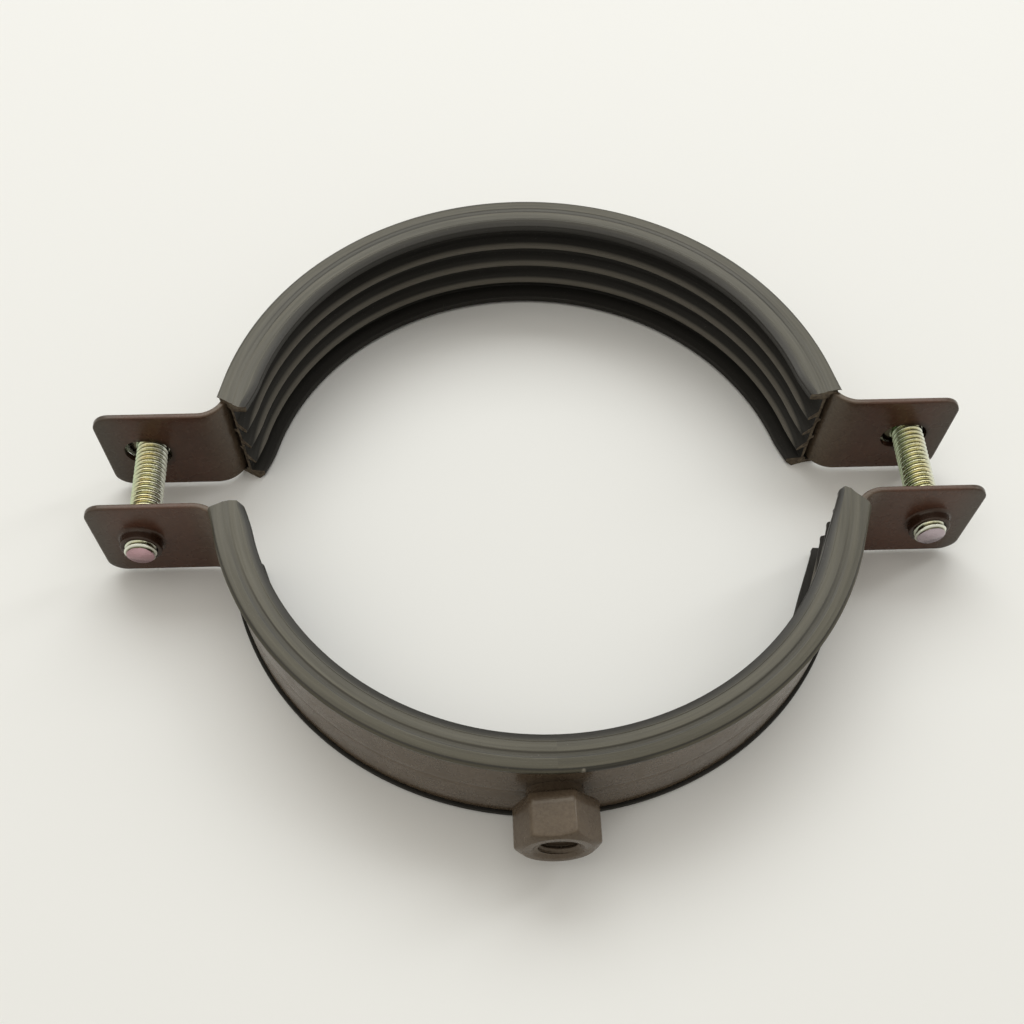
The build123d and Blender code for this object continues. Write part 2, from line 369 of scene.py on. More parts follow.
def strip_mesh(seed):
    """The folded strip of the front half."""
    half_thickness = BAND_THICKNESS / 2
    points = []
    stations = strip_stations()
    for x, y, normal_x, normal_y in stations:
        to_tip = EAR_END_X - abs(x)
        half_width = BAND_WIDTH / 2 - tip_inset(EAR_CORNER_RADIUS, to_tip)
        squeeze = (half_thickness - tip_inset(PAINT_EDGE_RADIUS, to_tip)) / half_thickness
        on_ring = clamped((BAND_BORE_RADIUS - abs(x)) / DENT_FADE_LENGTH)
        for towards_pipe, height in strip_section(half_thickness, half_width):
            dent = wobble((x, y, height), 0.12, 0.012, seed)
            offset = towards_pipe * squeeze + on_ring * dent
            if towards_pipe < 0:
                offset += on_ring * ROLL_LINE_DEPTH * exp(-(height / ROLL_LINE_REACH)**2)
            points.append((x + normal_x * offset, y + normal_y * offset, height))
    columns = len(points) // len(stations)
    faces = grid_faces(len(stations), columns) + cap_faces(len(stations), columns)
    return mesh_from("strip", points, faces)


def lathe_along_y(name, outline, x):
    """Ring or plug turned about a line along Y at x; outline is a closed list of radius, y."""
    segments = 64
    points = []
    for step in range(segments):
        angle = 2 * pi * step / segments
        for radius, y in outline:
            points.append((x + radius * cos(angle), y, radius * sin(angle)))
    faces = grid_faces(segments, len(outline)) + closing_faces(segments, len(outline))
    return mesh_from(name, points, faces)


def collar_mesh(side):
    """Collar drawn out of the front ear, with a soft foot and a rounded rim."""
    back_y = -EAR_OFFSET_Y - BAND_THICKNESS
    rim_y = back_y - COLLAR_HEIGHT
    inside = back_y + BAND_THICKNESS / 2
    foot_radius = COLLAR_RADIUS + COLLAR_FOOT_WIDTH
    outline = rounded((
        (COLLAR_RADIUS, rim_y, 0.3),
        (COLLAR_RADIUS, back_y, 0.7),
        (foot_radius, back_y + 0.02, 0.2),
        (foot_radius, inside, 0.0),
        (COLLAR_BORE_RADIUS, inside, 0.0),
        (COLLAR_BORE_RADIUS, rim_y, 0.12),
    ))
    return lathe_along_y("collar", outline, side * SCREW_X)


def front_hole_cutter(side):
    """Plug for the screw's hole in a front ear, wider at its mouth on the facing side."""
    middle = 0.001
    before_ear = -EAR_OFFSET_Y + 0.5
    past_ear = -EAR_OFFSET_Y - 2 * BAND_THICKNESS
    outline = (
        (middle, before_ear),
        (COLLAR_BORE_RADIUS + HOLE_MOUTH_WIDTH, before_ear),
        (COLLAR_BORE_RADIUS, -EAR_OFFSET_Y - 0.6),
        (COLLAR_BORE_RADIUS, past_ear),
        (middle, past_ear),
    )
    return lathe_along_y("front_hole", outline, side * SCREW_X)


def slot_cutter(side):
    """Plug with round ends for the slot in a rear ear."""
    radius = SLOT_WIDTH / 2
    straight = (SLOT_LENGTH - SLOT_WIDTH) / 2
    segments = 48
    points = []
    for depth in (0.0, 3 * BAND_THICKNESS):
        y = EAR_OFFSET_Y - BAND_THICKNESS + depth
        for step in range(segments):
            angle = 2 * pi * (step + 0.5) / segments
            shift = straight if cos(angle) > 0 else -straight
            points.append((side * SCREW_X + shift + radius * cos(angle), y, radius * sin(angle)))
    return mesh_from("slot", points, grid_faces(2, segments) + cap_faces(2, segments))


def make_front_band(material):
    """Painted strip of the front half, with its two drawn collars."""
    strip = strip_mesh(3.0)
    for side in (-1, 1):
        strip = cut(strip, front_hole_cutter(side))
    mesh = joined("front_strip", [strip, collar_mesh(-1), collar_mesh(1)])
    add_piece("front_strip", mesh, material, "nut_half", "front_band")


def make_rear_band(material):
    """Painted strip of the rear half, with its slotted ears."""
    strip = strip_mesh(11.0)
    strip.transform(Matrix.Rotation(pi, 4, "Z"))
    for side in (-1, 1):
        strip = cut(strip, slot_cutter(side))
    strip.transform(Matrix.Translation((REAR_X * MM, REAR_Y * MM, 0)))
    mesh = joined("rear_strip", [strip])
    add_piece("rear_strip", mesh, material, "rear_half", "rear_band")


# ---- rubber lining ----

def upper_rim_corners():
    """Rim and hook above the middle, from the web's front over the top to the web's back."""
    hook_end = BAND_WIDTH / 2 - LIP_OVERLAP
    strip_edge = BAND_WIDTH / 2 + 0.05
    underside = LINING_TOP - RIM_THICKNESS
    groove_floor = LINING_TOP - GROOVE_DEPTH
    return (
        (WEB_FRONT_RADIUS, underside, 0.3),
        (LINING_BORE_RADIUS, underside + 0.1, 0.25),
        (LINING_BORE_RADIUS, LINING_TOP - 0.65, 0.2),
        (CREASE_RADIUS - 0.15, LINING_TOP - 0.11, 0.06),
        (CREASE_RADIUS, LINING_TOP - 0.17, 0.06),
        (CREASE_RADIUS + 0.15, LINING_TOP - 0.12, 0.06),
        (GROOVE_INNER_RADIUS, LINING_TOP, 0.12),
        (GROOVE_INNER_RADIUS + 0.35, groove_floor, 0.1),
        (GROOVE_OUTER_RADIUS - 0.05, groove_floor, 0.1),
        (GROOVE_OUTER_RADIUS + 0.25, LINING_TOP - 0.01, 0.1),
        (LIP_RADIUS - 0.55, LINING_TOP - 0.08, 0.25),
        (LIP_RADIUS, LINING_TOP - 0.5, 0.2),
        (LIP_RADIUS - 0.08, hook_end, 0.12),
        (HOOK_INNER_RADIUS, hook_end + 0.06, 0.05),
        (HOOK_INNER_RADIUS, strip_edge, 0.0),
        (SEAT_RADIUS, strip_edge, 0.0),
        (SEAT_RADIUS, underside + 0.3, 0.15),
        (WEB_BACK_RADIUS, underside - 0.1, 0.2),
    )


def fin_corners(height):
    """One fin, from its upper root round its tip to its lower root."""
    tip = height - FIN_DROOP
    return (
        (WEB_FRONT_RADIUS, height + FIN_ROOT_THICKNESS / 2, 0.35),
        (FIN_TIP_RADIUS, tip + FIN_TIP_THICKNESS / 2, 0.28),
        (FIN_TIP_RADIUS, tip - FIN_TIP_THICKNESS / 2, 0.28),
        (WEB_FRONT_RADIUS, height - FIN_ROOT_THICKNESS / 2, 0.35),
    )


def back_rib_corners(height):
    """One small rib on the web's back, read downwards."""
    half = BACK_RIB_WIDTH / 2
    return (
        (WEB_BACK_RADIUS, height + half + 0.1, 0.1),
        (SEAT_RADIUS, height + half - 0.1, 0.1),
        (SEAT_RADIUS, height - half + 0.1, 0.1),
        (WEB_BACK_RADIUS, height - half - 0.1, 0.1),
    )


def lining_outline():
    """The lining's whole section as a closed outline of radius and height."""
    upper = upper_rim_corners()
    lower = tuple((radius, -height, reach) for radius, height, reach in reversed(upper))
    back = sum([back_rib_corners(height) for height in BACK_RIB_HEIGHTS], ())
    front = sum([tuple(reversed(fin_corners(height))) for height in reversed(FIN_HEIGHTS)], ())
    return rounded(upper + back + lower + front)


def lining_end_y(end, radius, height, seed):
    """Where the lining ends at that place of its section, measured from its half's axis."""
    share = clamped((radius - CREASE_RADIUS) / (LIP_RADIUS - CREASE_RADIUS))
    place = end.inner + (end.outer - end.inner) * share**end.slant
    place += end.corner * max(0.0, 1 - (radius - LINING_BORE_RADIUS) / CORNER_ROUND_WIDTH)**2
    if radius > HOOK_INNER_RADIUS - 0.1 and abs(height) < BAND_WIDTH / 2:
        bend_centre = EAR_OFFSET_Y + EAR_BEND_RADIUS
        place = bend_centre * BAND_BORE_RADIUS / (BAND_BORE_RADIUS + EAR_BEND_RADIUS)
    ragged = abs(wobble((radius, height, 0.0), 1.3, 0.3, seed))
    return place + ragged


def end_flare(end, radius, y):
    """How far the lining stands outward near its end: its fins and rims fold back a little."""
    near = clamped((end.reach - y) / (end.reach - LINING_END_Y))**1.7
    if radius < WEB_BACK_RADIUS:
        share = (WEB_BACK_RADIUS - radius) / (WEB_BACK_RADIUS - LINING_BORE_RADIUS)
        return end.bore_flare * near * share
    share = max(0.0, radius - SEAT_RADIUS) / (LIP_RADIUS - SEAT_RADIUS)
    return end.lip_flare * near * share


def worn_height(height, y):
    """Height with the rim's crease and groove running out towards the lining's ends."""
    drop = LINING_TOP - abs(height)
    near = clamped((RELIEF_START_Y - y) / (RELIEF_START_Y - PLAIN_END_Y)) * RELIEF_LOSS
    on_top = clamped((0.35 - drop) / 0.15)
    return copysign(abs(height) + drop * near * on_top, height)


def lining_mesh(seed, right_end, left_end):
    """Half turn of the section on the +Y side, about its own axis."""
    outline = lining_outline()
    steps = 240
    points = []
    for step in range(steps + 1):
        for radius, height in outline:
            start = asin(lining_end_y(right_end, radius, height, seed) / radius)
            last = pi - asin(lining_end_y(left_end, radius, height, seed + 5.0) / radius)
            angle = start + (last - start) * step / steps
            end = right_end if step < steps / 2 else left_end
            y = radius * sin(angle)
            swell = wobble((radius * cos(angle), y, height), 0.09, 0.015, seed)
            reach = radius + swell + end_flare(end, radius, y)
            points.append((reach * cos(angle), reach * sin(angle), worn_height(height, y)))
    faces = grid_faces(steps + 1, len(outline)) + cap_faces(steps + 1, len(outline))
    return mesh_from("lining", points, faces, sharp_angle=50.0)


def make_linings():
    """The rubber linings of both halves."""
    rear_material = lining_rubber("rear_rubber", REAR_X * MM, REAR_Y * MM)
    rear = lining_mesh(21.0, REAR_RIGHT_END, REAR_LEFT_END)
    rear.transform(Matrix.Translation((REAR_X * MM, REAR_Y * MM, 0)))
    add_piece("rear_rubber", rear, rear_material, "rear_half", "rear_lining")
    front_material = lining_rubber("front_rubber", 0.0, 0.0, has_tear=True)
    front = lining_mesh(34.0, FRONT_LEFT_END, FRONT_RIGHT_END)
    front.transform(Matrix.Rotation(pi, 4, "Z"))
    add_piece("front_rubber", front, front_material, "nut_half", "front_lining")


# ---- threads, screws and nut ----

def thread_wave(phase):
    """Height of a 60 degree thread between 0 at the root and 1 at the crest, by its phase."""
    place = phase - floor(phase)
    flank = abs(2 * place - 1)
    return clamped((flank - 0.12) / 0.72)


def screw_thread_mesh(side, bearing_y):
    """Threaded shank along -Y from the head's bearing face, closed at its tip."""
    around = 72
    rows = int(SCREW_LENGTH / 0.07)
    points = []
    for row in range(rows + 1):
        along = SCREW_LENGTH * row / rows
        from_tip = SCREW_LENGTH - along
        chamfer = SCREW_CREST_RADIUS - SCREW_TIP_CHAMFER + from_tip
        for column in range(around):
            angle = 2 * pi * column / around
            wave = thread_wave(along / SCREW_PITCH - column / around)
            radius = SCREW_ROOT_RADIUS + (SCREW_CREST_RADIUS - SCREW_ROOT_RADIUS) * wave
            radius = min(radius, chamfer)
            x = side * SCREW_X + radius * cos(angle)
            points.append((x, bearing_y - along, radius * sin(angle)))
    faces = grid_faces(rows + 1, around) + cap_faces(rows + 1, around)
    return mesh_from("thread", points, faces, sharp_angle=60.0)


def screw_head_mesh(node, bearing_y):
    """The head alone, cut from the CAD screw at its bearing face."""
    work = bmesh.new()
    work.from_mesh(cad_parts[node].data)
    shank = [vertex for vertex in work.verts if vertex.co.y < (bearing_y - 0.01) * MM]
    bmesh.ops.delete(work, geom=shank, context="VERTS")
    bmesh.ops.remove_doubles(work, verts=work.verts, dist=1e-7)
    bmesh.ops.holes_fill(work, edges=work.edges)
    mesh = bpy.data.meshes.new("head")
    work.to_mesh(mesh)
    work.free()
    return mesh


def make_screw(side, node, material):
    """Closing screw with its cut thread."""
    bearing_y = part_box(node)[0].y / MM + SCREW_LENGTH
    thread = screw_thread_mesh(side, bearing_y)
    head = screw_head_mesh(node, bearing_y)
    mesh = joined(node + "_threaded", [thread, head])
    add_piece(node + "_threaded", mesh, material, node, node)


def hexagon_radius(angle):
    """Distance from the nut's middle to its side at that angle, with softened corners."""
    sector = (angle + pi / 6) % (pi / 3) - pi / 6
    sharp = NUT_FLATS / 2 / cos(sector)
    limit = NUT_FLATS / sqrt(3) - NUT_CORNER_SOFTNESS
    if sharp <= limit:
        return sharp
    return limit + (sharp - limit) * NUT_CORNER_KEPT


def nut_stations():
    """The nut's surface from its spigot round the face into the bore: kind, size and y.

    The size is a radius on a "saddle" or "round" station, and an inset on a "hexagon" one.
    """
    back = -(BAND_BORE_RADIUS + BAND_THICKNESS + NUT_STAND_OFF)
    face = back - NUT_LENGTH
    bore = NUT_BORE_RADIUS + NUT_THREAD_DEPTH
    stations = [
        ("saddle", SPIGOT_RADIUS, back + NUT_STAND_OFF),
        ("round", SPIGOT_RADIUS, back + 0.3),
        ("round", SPIGOT_RADIUS + 0.3, back + 0.02),
    ]
    for inset in (0.5, 0.22, 0.07, 0.0):
        stations.append(("hexagon", inset, back - 0.5 + inset * 0.9))
    for share in (0.3, 0.6):
        stations.append(("hexagon", 0.0, back - NUT_LENGTH * share))
    chamfer_steps = 13
    for step in range(chamfer_steps + 1):
        height = NUT_CHAMFER_DEPTH * (1 - step / chamfer_steps)**1.5
        stations.append(("hexagon", 0.0, face + height))
    stations.append(("round", NUT_FACE_RADIUS - 0.05, face))
    stations.append(("round", bore + 0.75, face))
    stations.append(("round", bore + 0.45, face + 0.12))
    stations.append(("round", bore + 0.1, face + 0.55))
    return stations, face


def nut_side_radius(inset, y, turned, face):
    """Radius of the nut's side, at an angle from the middle of a flat: hexagon within cone."""
    hexagon = hexagon_radius(turned) - inset
    cone = NUT_FACE_RADIUS + (y - face) / tan(radians(NUT_CHAMFER_ANGLE))
    if cone > hexagon + NUT_CHAMFER_DEPTH:
        return hexagon
    power = NUT_BLEND_POWER
    return (hexagon**-power + cone**-power)**(-1 / power)


def nut_points(around):
    """The nut's points, ring by ring: its side and face, then the thread down its bore."""
    stations, face = nut_stations()
    turns = [2 * pi * column / around for column in range(around)]
    upright = radians(90.0 + NUT_TURN)
    saddle_radius = BAND_BORE_RADIUS + BAND_THICKNESS / 2
    points = []
    for kind, size, y in stations:
        for turned in turns:
            radius = nut_side_radius(size, y, turned, face) if kind == "hexagon" else size
            x = radius * cos(turned + upright)
            z = radius * sin(turned + upright)
            place_y = -sqrt(saddle_radius**2 - x**2) if kind == "saddle" else y
            points.append((x, place_y, z))
    thread_start = face + 0.6
    thread_length = NUT_LENGTH + NUT_STAND_OFF - 0.7
    thread_steps = 150
    for step in range(thread_steps + 1):
        y = thread_start + thread_length * step / thread_steps
        for turned in turns:
            wave = thread_wave(y / NUT_PITCH + turned / (2 * pi))
            radius = NUT_BORE_RADIUS + NUT_THREAD_DEPTH * (1 - wave)
            points.append((radius * cos(turned + upright), y, radius * sin(turned + upright)))
    return points


def make_boss_nut(material):
    """Weld nut with rounded corners, a chamfered face and a threaded bore."""
    around = 144
    points = nut_points(around)
    rows = len(points) // around
    faces = grid_faces(rows, around) + closing_faces(rows, around)
    mesh = mesh_from("weld_nut", points, faces, sharp_angle=70.0)
    add_piece("weld_nut", mesh, material, "nut_half", "boss_nut")


# ---- materials ----

def new_material(name):
    """Empty material, its principled shader and its node tree."""
    material = bpy.data.materials.new(name)
    material.use_nodes = True
    tree = material.node_tree
    return material, tree.nodes["Principled BSDF"], tree


def split_place(tree, kind):
    """X, Y and Z sockets of the texture coordinate of that kind."""
    split = tree.nodes.new("ShaderNodeSeparateXYZ")
    tree.links.new(tree.nodes.new("ShaderNodeTexCoord").outputs[kind], split.inputs["Vector"])
    return split.outputs["X"], split.outputs["Y"], split.outputs["Z"]


def add_noise(tree, scale, detail, roughness=0.5, vector=None):
    """Noise socket at a scale per metre, in object space unless a vector is given."""
    node = tree.nodes.new("ShaderNodeTexNoise")
    node.inputs["Scale"].default_value = scale
    node.inputs["Detail"].default_value = detail
    node.inputs["Roughness"].default_value = roughness
    if vector is None:
        vector = tree.nodes.new("ShaderNodeTexCoord").outputs["Object"]
    tree.links.new(vector, node.inputs["Vector"])
    return node.outputs["Fac"]


def add_ramp(tree, value, *stops):
    """Colour socket that ramps over a value; stops are (position, colour)."""
    node = tree.nodes.new("ShaderNodeValToRGB")
    ramp = node.color_ramp
    for index, (position, color) in enumerate(stops):
        element = ramp.elements[index] if index < 2 else ramp.elements.new(position)
        element.position = position
        element.color = (*color, 1.0)
    tree.links.new(value, node.inputs["Fac"])
    return node.outputs["Color"]


def between(tree, value, low, high, to_low=0.0, to_high=1.0):
    """Socket that ramps from to_low to to_high as the value goes from low to high."""
    node = tree.nodes.new("ShaderNodeMapRange")
    node.inputs["From Min"].default_value = low
    node.inputs["From Max"].default_value = high
    node.inputs["To Min"].default_value = to_low
    node.inputs["To Max"].default_value = to_high
    tree.links.new(value, node.inputs["Value"])
    return node.outputs["Result"]


def add_math(tree, operation, first, second=0.0):
    """Socket with the result of a math node on two sockets or numbers."""
    node = tree.nodes.new("ShaderNodeMath")
    node.operation = operation
    for socket, value in zip(node.inputs, (first, second)):
        if isinstance(value, (int, float)):
            socket.default_value = value
        else:
            tree.links.new(value, socket)
    return node.outputs["Value"]


def product(tree, *values):
    """All the sockets multiplied together."""
    result = values[0]
    for value in values[1:]:
        result = add_math(tree, "MULTIPLY", result, value)
    return result


def largest(tree, *values):
    """The largest of the sockets."""
    result = values[0]
    for value in values[1:]:
        result = add_math(tree, "MAXIMUM", result, value)
    return result


def add_mix(tree, factor, first, second):
    """Colour socket mixed by a factor socket; first and second are colours or sockets."""
    node = tree.nodes.new("ShaderNodeMix")
    node.data_type = "RGBA"
    tree.links.new(factor, node.inputs["Factor"])
    for name, value in (("A", first), ("B", second)):
        socket = [one for one in node.inputs if one.name == name and one.type == "RGBA"][0]
        if isinstance(value, tuple):
            socket.default_value = (*value, 1.0)
        else:
            tree.links.new(value, socket)
    return [one for one in node.outputs if one.type == "RGBA"][0]


def add_bump(tree, shader, height, strength, distance, before=None):
    """Bump on the shader's normal, chained after another bump if there is one."""
    node = tree.nodes.new("ShaderNodeBump")
    node.inputs["Strength"].default_value = strength
    node.inputs["Distance"].default_value = distance
    tree.links.new(height, node.inputs["Height"])
    if before is not None:
        tree.links.new(before, node.inputs["Normal"])
    tree.links.new(node.outputs["Normal"], shader.inputs["Normal"])
    return node.outputs["Normal"]


def distance_from(tree, first, second, centre_first, centre_second):
    """Offsets of two coordinates from a centre, and the distance that they make."""
    first = add_math(tree, "SUBTRACT", first, centre_first)
    second = add_math(tree, "SUBTRACT", second, centre_second)
    squares = [add_math(tree, "POWER", offset, 2.0) for offset in (first, second)]
    return first, second, add_math(tree, "SQRT", add_math(tree, "ADD", *squares))


def paint_color(tree):
    """Olive brown on the ring and olive grey, darker at the ears' tips, both with painted reflection
    of the floor; redder on the ears; painted shade round the screws.
    """
    x, _, height = split_place(tree, "Object")
    sideways = add_math(tree, "ABSOLUTE", x)
    cloud = add_noise(tree, 90.0, 3.0)
    # Painted reflection: the ring's olive brown is the paint's brown with the floor's reflection
    # painted in; the ears keep the redder paint.
    on_ring = add_ramp(tree, cloud, (0.3, (0.086, 0.063, 0.041)), (0.7, (0.108, 0.079, 0.052)))
    on_ear = add_ramp(tree, cloud, (0.3, (0.068, 0.030, 0.018)), (0.7, (0.090, 0.040, 0.025)))
    ear_starts = between(tree, sideways, BAND_BORE_RADIUS * MM, (BAND_BORE_RADIUS + 7.0) * MM)
    color = add_mix(tree, ear_starts, on_ring, on_ear)
    # Painted reflection: the ears' tips turn olive grey and darker, as if reflecting the floor.
    tip_reflection = between(tree, sideways, (EAR_END_X - 6.4) * MM, (EAR_END_X - 0.9) * MM)
    color = add_mix(tree, tip_reflection, color, (0.056, 0.043, 0.031))
    mottle = between(tree, add_noise(tree, 1900.0, 3.0, 0.6), 0.42, 0.62, 0.0, 0.3)
    color = add_mix(tree, mottle, color, (0.030, 0.015, 0.010))
    # Painted shade: the paint darkens round both screws, on the front collars and round the rear
    # slots.
    _, _, from_screw = distance_from(tree, sideways, height, SCREW_X * MM, 0.0)
    screw_shade = between(tree, from_screw, COLLAR_RADIUS * MM, (COLLAR_RADIUS + 0.9) * MM, 0.72, 0.0)
    color = add_mix(tree, screw_shade, color, (0.018, 0.010, 0.006))
    dust = between(tree, add_noise(tree, 2600.0, 2.0), 0.70, 0.78, 0.0, 0.4)
    return add_mix(tree, dust, color, (0.20, 0.165, 0.13))


def painted_steel():
    """Thick satin paint with an orange peel, smears in its gloss and a little dust."""
    material, shader, tree = new_material("painted_steel")
    shader.inputs["Specular IOR Level"].default_value = 0.36
    shader.inputs["Specular Tint"].default_value = (1.0, 0.94, 0.83, 1.0)
    tree.links.new(paint_color(tree), shader.inputs["Base Color"])
    rough = between(tree, add_noise(tree, 260.0, 4.0), 0.35, 0.7, 0.22, 0.33)
    tree.links.new(rough, shader.inputs["Roughness"])
    peel = add_bump(tree, shader, add_noise(tree, 900.0, 1.5), 0.09, 0.12 * MM)
    add_bump(tree, shader, add_noise(tree, 2600.0, 2.0), 0.3, 0.06 * MM, peel)
    return material


def ring_place(tree, centre_x, centre_y):
    """Where a point of a lining lies, from its half's axis, which is given in metres."""
    x, y, height = split_place(tree, "Object")
    x, y, radius = distance_from(tree, x, y, centre_x, centre_y)
    slow_turn = add_math(tree, "MULTIPLY", add_math(tree, "ARCTAN2", x, y), 1.5 * MM)
    along = tree.nodes.new("ShaderNodeCombineXYZ")
    tree.links.new(slow_turn, along.inputs["X"])
    tree.links.new(radius, along.inputs["Y"])
    tree.links.new(height, along.inputs["Z"])
    from_end = add_math(tree, "ABSOLUTE", y)
    return RingPlace(x, from_end, radius, height, along.outputs["Vector"])


def painted_light_share(tree, place, upward):
    """How much painted light a point has: the rims' upward-facing tops and the lip, lightened as
    where light falls, less in the groove as painted shade.
    """
    tops = product(
        tree,
        between(tree, upward, 0.93, 0.99),
        between(tree, place.height, (LINING_TOP - 1.0) * MM, (LINING_TOP - 0.4) * MM))
    outside = between(
        tree, place.radius, GROOVE_OUTER_RADIUS * MM, (GROOVE_OUTER_RADIUS + 0.2) * MM)
    inside = between(
        tree, place.radius,
        (GROOVE_INNER_RADIUS - 0.1) * MM, (GROOVE_INNER_RADIUS + 0.2) * MM, 1.0, 0.0)
    near_end = between(tree, place.from_end, PLAIN_END_Y * MM, RELIEF_START_Y * MM, 1.0, 0.0)
    even = between(tree, largest(tree, outside, inside, near_end), 0.0, 1.0, 0.5, 1.0)
    lip = product(
        tree,
        between(tree, place.radius, (LIP_RADIUS - 0.5) * MM, (LIP_RADIUS - 0.2) * MM),
        between(tree, place.height, (LINING_TOP - 1.2) * MM, (LINING_TOP - 0.9) * MM))
    return largest(tree, product(tree, tops, even), lip)


def fin_tip_highlight(tree, place):
    """1 on the tips of the fins, between the rims, which carry a painted highlight."""
    from_middle = add_math(tree, "ABSOLUTE", place.height)
    return product(
        tree,
        between(tree, place.radius, (FIN_TIP_RADIUS + 0.75) * MM, (FIN_TIP_RADIUS + 0.3) * MM),
        between(tree, from_middle, (LINING_TOP - 3.0) * MM, (LINING_TOP - 2.5) * MM, 1.0, 0.0))


def cut_end_share(tree, place, lengthways):
    """1 on the cut faces at the lining's ends, which face along Y."""
    facing_end = add_math(tree, "ABSOLUTE", lengthways)
    return product(
        tree,
        between(tree, place.from_end, CUT_END_Y * MM, (CUT_END_Y + 1.0) * MM, 1.0, 0.0),
        between(tree, facing_end, 0.5, 0.75))


def torn_lip(tree, color, place):
    """Short dark tear along the lip beside the nut, with a pale nick at its start."""
    tear = product(
        tree,
        between(tree, place.radius, (LIP_RADIUS - 0.40) * MM, (LIP_RADIUS - 0.25) * MM),
        between(tree, place.radius, (LIP_RADIUS + 0.05) * MM, (LIP_RADIUS + 0.15) * MM, 1.0, 0.0),
        between(tree, place.height, (LINING_TOP - 1.1) * MM, (LINING_TOP - 0.8) * MM),
        between(tree, place.x, TEAR_START_X * MM, (TEAR_START_X + 0.5) * MM),
        between(tree, place.x, (TEAR_END_X - 3.0) * MM, TEAR_END_X * MM, 0.9, 0.0))
    color = add_mix(tree, tear, color, (0.008, 0.007, 0.005))
    _, _, from_nick = distance_from(
        tree, place.x, place.radius, TEAR_START_X * MM, (LIP_RADIUS - 0.1) * MM)
    nick = between(tree, from_nick, 0.15 * MM, 0.4 * MM, 0.7, 0.0)
    return add_mix(tree, nick, color, (0.24, 0.22, 0.18))


def rubber_color(tree, place, has_tear):
    """Near-black, with painted light on the rims' tops and lip, painted highlights on the fin tips,
    brownish torn ends and dust.
    """
    broad = add_noise(tree, 900.0, 3.0, 0.6, place.along)
    black = add_ramp(
        tree, broad, (0.3, (0.0052, 0.0045, 0.0034)), (0.7, (0.0092, 0.0080, 0.0062)))
    # Painted light: a lighter olive grey on the rims' upward-facing tops and on the lip, where light
    # falls.
    painted_top_light = add_ramp(tree, broad, (0.36, (0.038, 0.034, 0.021)), (0.64, (0.070, 0.063, 0.042)))
    _, lengthways, upward = split_place(tree, "Normal")
    color = add_mix(tree, painted_light_share(tree, place, upward), black, painted_top_light)
    # Painted highlight: pale colour along the fin tips.
    color = add_mix(tree, fin_tip_highlight(tree, place), color, (0.105, 0.095, 0.077))
    torn = add_ramp(
        tree, add_noise(tree, 1400.0, 4.0),
        (0.35, (0.060, 0.043, 0.028)), (0.65, (0.160, 0.126, 0.085)))
    color = add_mix(tree, cut_end_share(tree, place, lengthways), color, torn)
    dust = between(tree, add_noise(tree, 3000.0, 2.0), 0.69, 0.78, 0.0, 0.3)
    color = add_mix(tree, dust, color, (0.2, 0.185, 0.16))
    if has_tear:
        color = torn_lip(tree, color, place)
    return color


def lining_rubber(name, centre_x, centre_y, has_tear=False):
    """Satin rubber with fine lines along the ring, duller between the rims than on them."""
    material, shader, tree = new_material(name)
    shader.inputs["Specular IOR Level"].default_value = 0.42
    shader.inputs["Specular Tint"].default_value = (1.0, 0.96, 0.88, 1.0)
    place = ring_place(tree, centre_x, centre_y)
    tree.links.new(rubber_color(tree, place, has_tear), shader.inputs["Base Color"])
    lines = add_noise(tree, 2400.0, 3.0, 0.6, place.along)
    streaked = between(tree, lines, 0.3, 0.7, 0.0, 0.13)
    duller = between(
        tree, place.height, (LINING_TOP - 2.0) * MM, (LINING_TOP - 1.0) * MM, 0.66, 0.31)
    tree.links.new(add_math(tree, "ADD", streaked, duller), shader.inputs["Roughness"])
    streaks = add_bump(tree, shader, lines, 0.45, 0.06 * MM)
    add_bump(tree, shader, add_noise(tree, 3600.0, 2.0), 0.35, 0.04 * MM, streaks)
    return material


def plating_color(tree, centre_x, tip_y, tip_color):
    """Yellow zinc with painted reflection, greener to the left and silvery to the right, and painted
    shade in the thread roots and under the head.
    """
    x, y, height = split_place(tree, "Object")
    sideways, _, radius = distance_from(tree, x, height, centre_x, 0.0)
    color = add_ramp(
        tree, add_noise(tree, 420.0, 3.0),
        (0.30, (0.57, 0.57, 0.38)), (0.50, (0.74, 0.71, 0.45)), (0.68, (0.76, 0.67, 0.39)))
    # Painted reflection: greener on the screws' left side and silvery on the right, where the lamp
    # on the right is reflected.
    green_reflection = between(tree, sideways, -2.6 * MM, -1.0 * MM, 0.8, 0.0)
    color = add_mix(tree, green_reflection, color, (0.50, 0.62, 0.44))
    silver_highlight = between(tree, sideways, 0.8 * MM, 2.4 * MM, 0.0, 0.85)
    color = add_mix(tree, silver_highlight, color, (0.80, 0.83, 0.76))
    near_tip = between(tree, y, tip_y + 1.0 * MM, tip_y + 2.2 * MM, 0.85, 0.0)
    color = add_mix(tree, near_tip, color, (0.78, 0.79, 0.70))
    # Painted shade: darker in the thread roots.
    root_shade = between(
        tree, radius, (SCREW_ROOT_RADIUS + 0.05) * MM, (SCREW_ROOT_RADIUS + 0.3) * MM, 1.0, 0.0)
    color = add_mix(tree, root_shade, color, (0.12, 0.11, 0.06))
    _, lengthways, _ = split_place(tree, "Normal")
    # Painted shade: darker on the head's underside.
    under_head_shade = product(
        tree,
        between(tree, radius, (SCREW_CREST_RADIUS + 0.1) * MM, (SCREW_CREST_RADIUS + 0.3) * MM),
        between(tree, lengthways, -0.9, -0.6, 1.0, 0.0))
    color = add_mix(tree, under_head_shade, color, (0.10, 0.09, 0.06))
    flat_end = between(tree, y, tip_y + 0.1 * MM, tip_y + 0.18 * MM, 1.0, 0.0)
    return add_mix(tree, flat_end, color, tip_color)


